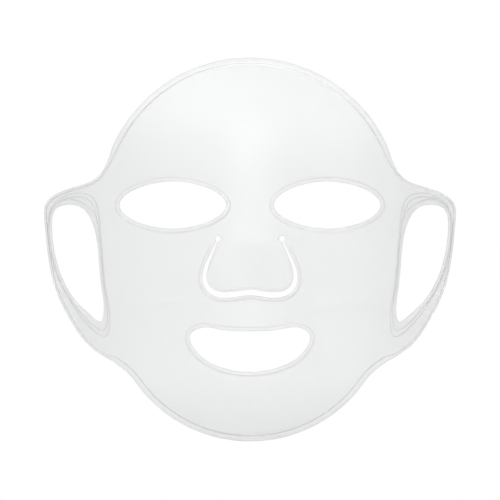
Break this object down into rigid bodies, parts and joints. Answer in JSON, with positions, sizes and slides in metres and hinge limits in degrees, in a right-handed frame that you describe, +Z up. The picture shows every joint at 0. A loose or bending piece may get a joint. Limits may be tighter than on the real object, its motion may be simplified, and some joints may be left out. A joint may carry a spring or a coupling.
{
  "type": "silicone facial mask cover",
  "caption": "Soft translucent silicone cover worn over a sheet mask, with eye and mouth openings, a hinged nose flap and an integral loop for each ear.",
  "frame": {"origin": "on the symmetry plane, on the smooth inner face between the eyes, where the wearer's nose bridge seats", "axes": "+Z up towards the forehead, -Y the way the front faces, +X towards the wearer's left ear"},
  "size_m": [0.2514, 0.0553, 0.2308],
  "materials": {
    "silicone": "milky translucent silicone, satin"
  },
  "bodies": {
    "panel": {"face_panel": "silicone", "forehead_bead": "silicone", "chin_bead": "silicone", "left_eye_rim": "silicone", "right_eye_rim": "silicone", "mouth_rim": "silicone", "nose_slit_lip": "silicone"},
    "nose_flap": {"nose_flap": "silicone", "nose_flap_rim": "silicone"},
    "left_ear_loop": {"left_ear_loop": "silicone", "left_loop_bead": "silicone", "left_loop_guides": "silicone"},
    "right_ear_loop": {"right_ear_loop": "silicone", "right_loop_bead": "silicone", "right_loop_guides": "silicone"}
  },
  "joints": [
    {"name": "nose_flap_lift", "type": "hinge", "parent": "panel", "child": "nose_flap", "pos_m": [0, -0.0011, -0.0202], "axis": [-1, 0, 0], "range_deg": [0, 30], "stiffness_Nm_per_rad": 0.002},
    {"name": "left_loop_fold", "type": "hinge", "parent": "panel", "child": "left_ear_loop", "pos_m": [0.083, 0.0224, 0], "axis": [0, 0, 1], "range_deg": [0, 70], "stiffness_Nm_per_rad": 0.004},
    {"name": "right_loop_fold", "type": "hinge", "parent": "panel", "child": "right_ear_loop", "pos_m": [-0.083, 0.0224, 0], "axis": [0, 0, -1], "range_deg": [0, 70], "stiffness_Nm_per_rad": 0.004}
  ]
}
